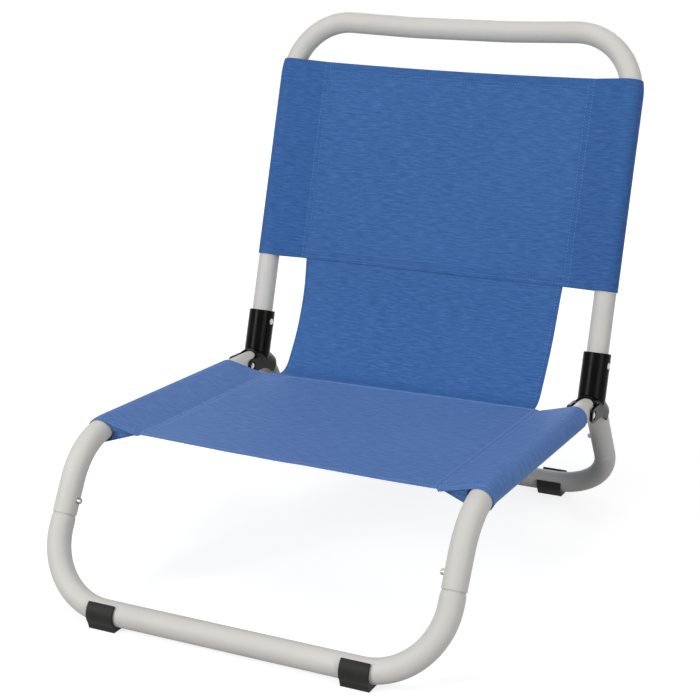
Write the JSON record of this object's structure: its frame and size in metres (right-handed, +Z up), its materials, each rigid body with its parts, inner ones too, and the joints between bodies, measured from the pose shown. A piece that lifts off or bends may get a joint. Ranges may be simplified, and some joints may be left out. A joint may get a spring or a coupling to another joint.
{
  "type": "beach chair",
  "caption": "Low folding beach chair: bent tube frame on clip feet, sling seat and back panel, and a back that folds forward on moulded hinge sockets.",
  "frame": {"origin": "on the ground under the middle of the chair's box", "axes": "+Z up, +Y to the rear, +X to the sitter's left"},
  "size_m": [0.4648, 0.6009, 0.5757],
  "materials": {
    "tube": "satin light grey powder coat",
    "black_plastic": "moulded, slightly glossy black",
    "bright_steel": "bright zinc plate",
    "spring_steel": "plain spring strip",
    "seat_cloth": "woven mid blue cloth with fine horizontal slubs",
    "back_cloth": "woven mid blue cloth with fine horizontal slubs"
  },
  "bodies": {
    "stand": {"front_leg_bar": "tube", "rear_leg_bar": "tube", "rail_left": "tube", "rail_right": "tube", "seat_fabric": "seat_cloth", "pivot_rivet_left": "bright_steel", "pivot_rivet_right": "bright_steel", "foot_front_left": "black_plastic", "foot_front_right": "black_plastic", "foot_rear_left": "black_plastic", "foot_rear_right": "black_plastic", "spring_front_left": "spring_steel", "spring_front_right": "spring_steel", "spring_rear_left": "spring_steel", "spring_rear_right": "spring_steel"},
    "back": {"back_frame": "tube", "hinge_socket_left": "black_plastic", "hinge_socket_right": "black_plastic", "socket_rivet_left": "bright_steel", "socket_rivet_right": "bright_steel", "back_fabric": "back_cloth", "lower_back": "back_cloth"},
    "button_front_left": {"button_front_left": "bright_steel"},
    "button_front_right": {"button_front_right": "bright_steel"},
    "button_rear_left": {"button_rear_left": "bright_steel"},
    "button_rear_right": {"button_rear_right": "bright_steel"}
  },
  "joints": [
    {"name": "back_fold", "type": "hinge", "parent": "stand", "child": "back", "pos_m": [0, 0.134, 0.1567], "axis": [1, 0, 0], "range_deg": [0, 104.5], "deforming": ["lower_back"]},
    {"name": "button_front_left_press", "type": "slide", "parent": "stand", "child": "button_front_left", "axis": [1, 0, 0], "range_m": [0, 0.0045], "stiffness_N_per_m": 800, "springref_m": -0.002, "deforming": ["spring_front_left"]},
    {"name": "button_front_right_press", "type": "slide", "parent": "stand", "child": "button_front_right", "axis": [-1, 0, 0], "range_m": [0, 0.0045], "stiffness_N_per_m": 800, "springref_m": -0.002, "deforming": ["spring_front_right"]},
    {"name": "button_rear_left_press", "type": "slide", "parent": "stand", "child": "button_rear_left", "axis": [1, 0, 0], "range_m": [0, 0.0045], "stiffness_N_per_m": 800, "springref_m": -0.002, "deforming": ["spring_rear_left"]},
    {"name": "button_rear_right_press", "type": "slide", "parent": "stand", "child": "button_rear_right", "axis": [-1, 0, 0], "range_m": [0, 0.0045], "stiffness_N_per_m": 800, "springref_m": -0.002, "deforming": ["spring_rear_right"]}
  ]
}
